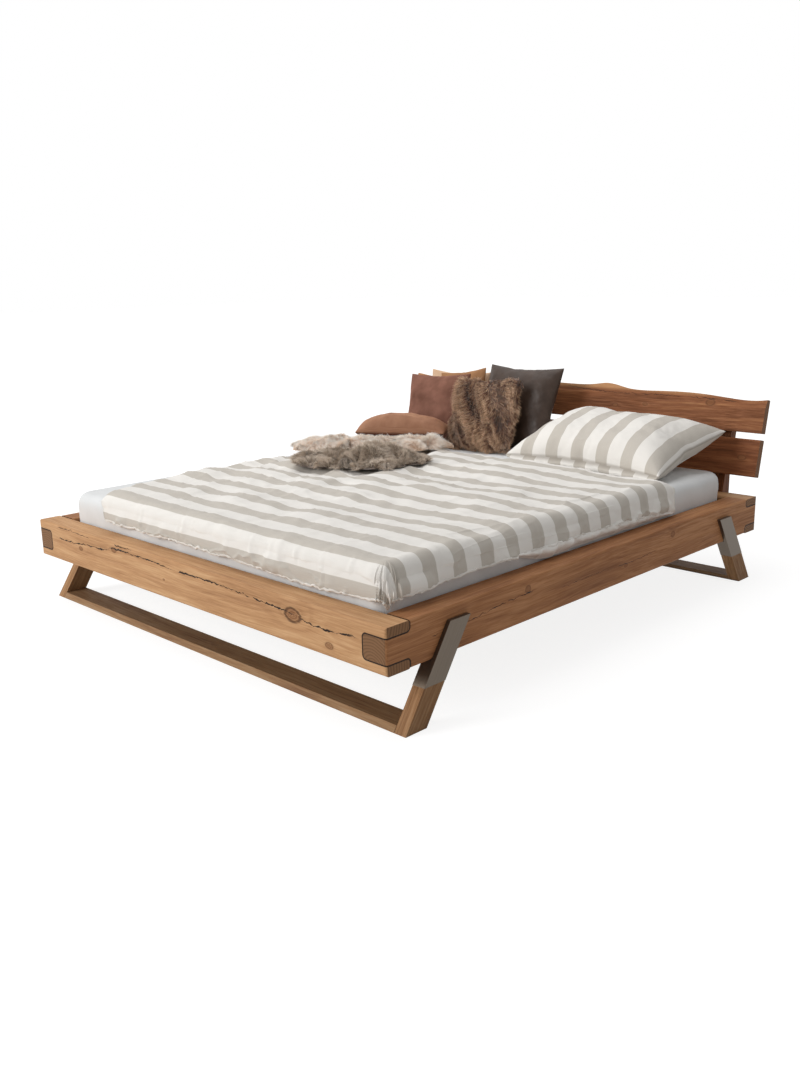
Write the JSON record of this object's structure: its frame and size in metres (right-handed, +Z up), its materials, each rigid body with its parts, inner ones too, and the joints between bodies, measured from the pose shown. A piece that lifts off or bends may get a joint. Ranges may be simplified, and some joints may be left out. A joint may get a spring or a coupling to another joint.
{
  "type": "double bed with bedding",
  "caption": "Rustic double bed of thick oiled oak beams with finger-jointed corners, leaning sled legs in notched steel shoes, a natural-edge headboard, mattress and striped bedding",
  "frame": {"origin": "On the floor, at the middle of the whole bed's outline seen from above", "axes": "+X to the bed's right side seen from the foot end, +Y from the foot to the headboard, +Z up"},
  "size_m": [2.028, 2.3148, 0.8243],
  "materials": {
    "oiled_oak": "oiled, open grain",
    "headboard_oak": "oiled, darker heartwood",
    "beech": "plain sanded",
    "brushed_steel_shoe": "brushed",
    "zinc_plated_steel": "zinc plated",
    "coated_steel": "powder coated",
    "slat_holder_rubber": "matte",
    "mattress_foam": "foam in a knitted cover",
    "white_sheet_cotton": "plain weave",
    "striped_duvet_cotton": "satin-striped weave",
    "striped_pillow_cotton": "satin-striped weave",
    "rose_cushion": "velvet",
    "copper_cushion": "velvet",
    "fur_cushion": "long pile",
    "taupe_cushion": "satin",
    "beige_cushion": "velvet",
    "gold_cushion": "velvet",
    "beige_throw_fur": "long pile",
    "brown_throw_fur": "long pile"
  },
  "bodies": {
    "frame": {"foot_beam": "oiled_oak", "head_beam": "oiled_oak", "right_side_beam": "oiled_oak", "left_side_beam": "oiled_oak", "corner_bolts": "zinc_plated_steel", "front_right_leg": "oiled_oak", "front_right_shoe": "brushed_steel_shoe", "front_left_leg": "oiled_oak", "front_left_shoe": "brushed_steel_shoe", "rear_right_leg": "oiled_oak", "rear_right_shoe": "brushed_steel_shoe", "rear_left_leg": "oiled_oak", "rear_left_shoe": "brushed_steel_shoe", "front_floor_bar": "oiled_oak", "rear_floor_bar": "oiled_oak", "bar_dowels": "beech", "shoe_bolts": "zinc_plated_steel", "leg_screws": "zinc_plated_steel", "headboard_upper_board": "headboard_oak", "headboard_lower_board": "headboard_oak", "right_post": "oiled_oak", "left_post": "oiled_oak", "board_screws": "zinc_plated_steel", "post_bolts": "zinc_plated_steel", "post_nuts": "zinc_plated_steel", "right_ledger": "beech", "left_ledger": "beech", "ledger_screws": "zinc_plated_steel", "centre_rail": "coated_steel", "rail_brackets": "coated_steel", "bracket_screws": "zinc_plated_steel", "right_base_rails": "beech", "left_base_rails": "beech", "right_base_slats": "beech", "left_base_slats": "beech", "right_slat_holders": "slat_holder_rubber", "left_slat_holders": "slat_holder_rubber"},
    "mattress": {"mattress_core": "mattress_foam", "fitted_sheet": "white_sheet_cotton"},
    "duvet": {"duvet": "striped_duvet_cotton"},
    "pillow": {"striped_pillow": "striped_pillow_cotton"},
    "rose_cushion_body": {"rose_cushion": "rose_cushion"},
    "taupe_cushion_body": {"taupe_cushion": "taupe_cushion"},
    "fur_cushion_body": {"fur_cushion": "fur_cushion"},
    "beige_cushion_body": {"beige_cushion": "beige_cushion"},
    "gold_cushion_body": {"gold_cushion": "gold_cushion"},
    "copper_cushion_body": {"copper_cushion": "copper_cushion"},
    "beige_throw_body": {"beige_throw": "beige_throw_fur"},
    "brown_throw_body": {"brown_throw": "brown_throw_fur"}
  },
  "joints": [
    {"name": "mattress_lift", "type": "slide", "parent": "frame", "child": "mattress", "axis": [0, 0, 1], "range_m": [0, 0.52]},
    {"name": "duvet_lift", "type": "slide", "parent": "mattress", "child": "duvet", "axis": [0, 0, 1], "range_m": [0, 0.4]},
    {"name": "pillow_lift", "type": "slide", "parent": "mattress", "child": "pillow", "axis": [0, 0, 1], "range_m": [0, 0.45]},
    {"name": "rose_cushion_lift", "type": "slide", "parent": "mattress", "child": "rose_cushion_body", "axis": [0, 0, 1], "range_m": [0, 0.45]},
    {"name": "fur_cushion_lift", "type": "slide", "parent": "mattress", "child": "fur_cushion_body", "axis": [0, 0, 1], "range_m": [0, 0.45]},
    {"name": "copper_cushion_lift", "type": "slide", "parent": "mattress", "child": "copper_cushion_body", "axis": [0, 0, 1], "range_m": [0, 0.45]},
    {"name": "gold_cushion_lift", "type": "slide", "parent": "mattress", "child": "gold_cushion_body", "axis": [0, 0.1961, 0.9806], "range_m": [0, 0.45]},
    {"name": "taupe_cushion_lift", "type": "slide", "parent": "mattress", "child": "taupe_cushion_body", "axis": [0, 0.342, 0.9397], "range_m": [0, 0.45]},
    {"name": "beige_cushion_lift", "type": "slide", "parent": "frame", "child": "beige_cushion_body", "axis": [0, 0.1961, 0.9806], "range_m": [0, 0.45]},
    {"name": "beige_throw_lift", "type": "slide", "parent": "duvet", "child": "beige_throw_body", "axis": [0, 0, 1], "range_m": [0, 0.25]},
    {"name": "brown_throw_lift", "type": "slide", "parent": "duvet", "child": "brown_throw_body", "axis": [0, 0, 1], "range_m": [0, 0.25]}
  ]
}
